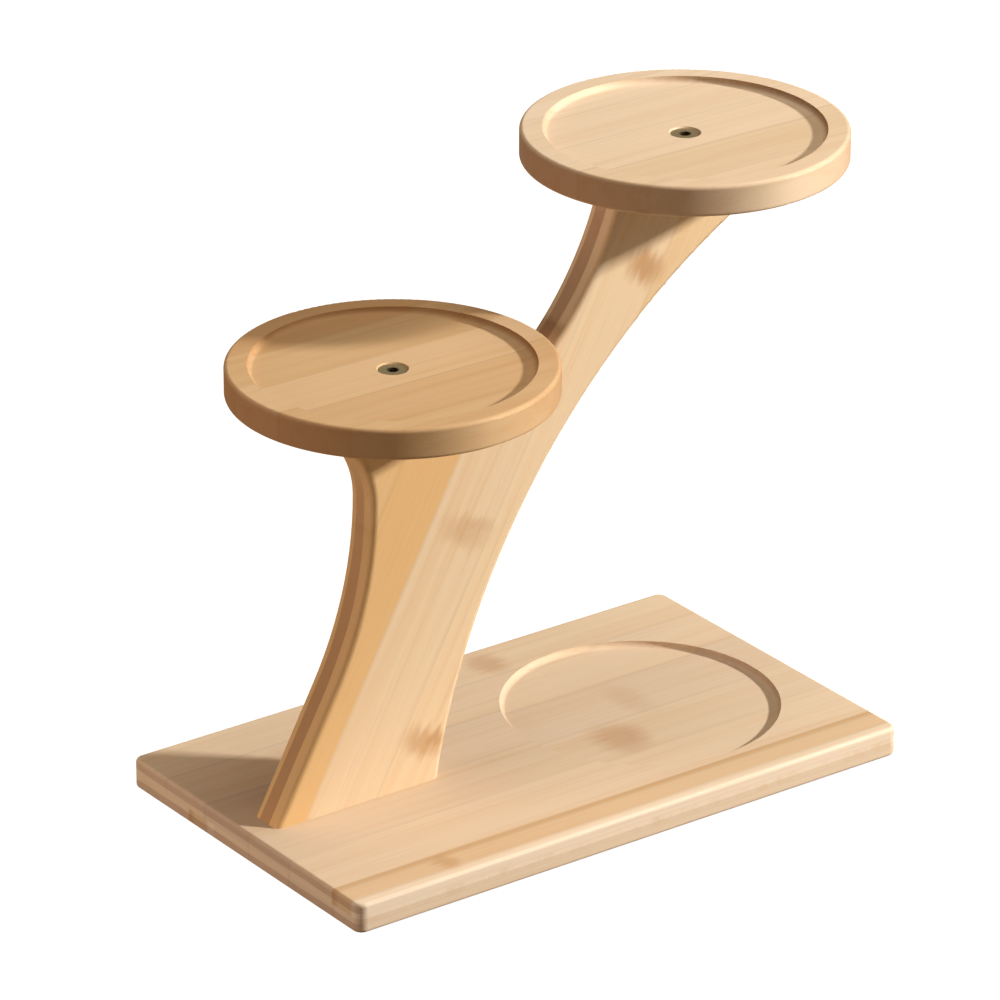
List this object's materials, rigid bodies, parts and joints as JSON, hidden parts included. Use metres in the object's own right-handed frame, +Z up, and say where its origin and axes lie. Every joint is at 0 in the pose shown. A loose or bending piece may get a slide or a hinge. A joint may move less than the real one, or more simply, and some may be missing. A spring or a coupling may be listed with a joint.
{
  "type": "tiered shelf riser",
  "caption": "Bamboo riser with a recessed base board and a branching upright that carries round recessed trays at different heights.",
  "frame": {"origin": "centre of the base board's underside, on the surface that the stand stands on", "axes": "+X along the base board towards its round recess, +Z up, +Y towards the back of the upright"},
  "size_m": [0.265, 0.15, 0.246],
  "materials": {
    "bamboo_base": "clear-lacquered laminated bamboo, satin",
    "bamboo_upright": "clear-lacquered laminated bamboo, satin",
    "bamboo_tray": "clear-lacquered laminated bamboo, satin",
    "screw_steel": "antique bronze plated steel",
    "insert_zinc": "zinc plated, plain"
  },
  "bodies": {
    "root": {"base_board": "bamboo_base", "upright": "bamboo_upright", "lower_tray": "bamboo_tray", "upper_tray": "bamboo_tray", "lower_tray_screw": "screw_steel", "upper_tray_screw": "screw_steel", "foot_screw_left": "screw_steel", "foot_screw_right": "screw_steel", "lower_tray_insert": "insert_zinc", "upper_tray_insert": "insert_zinc", "foot_insert_left": "insert_zinc", "foot_insert_right": "insert_zinc"}
  },
  "joints": []
}
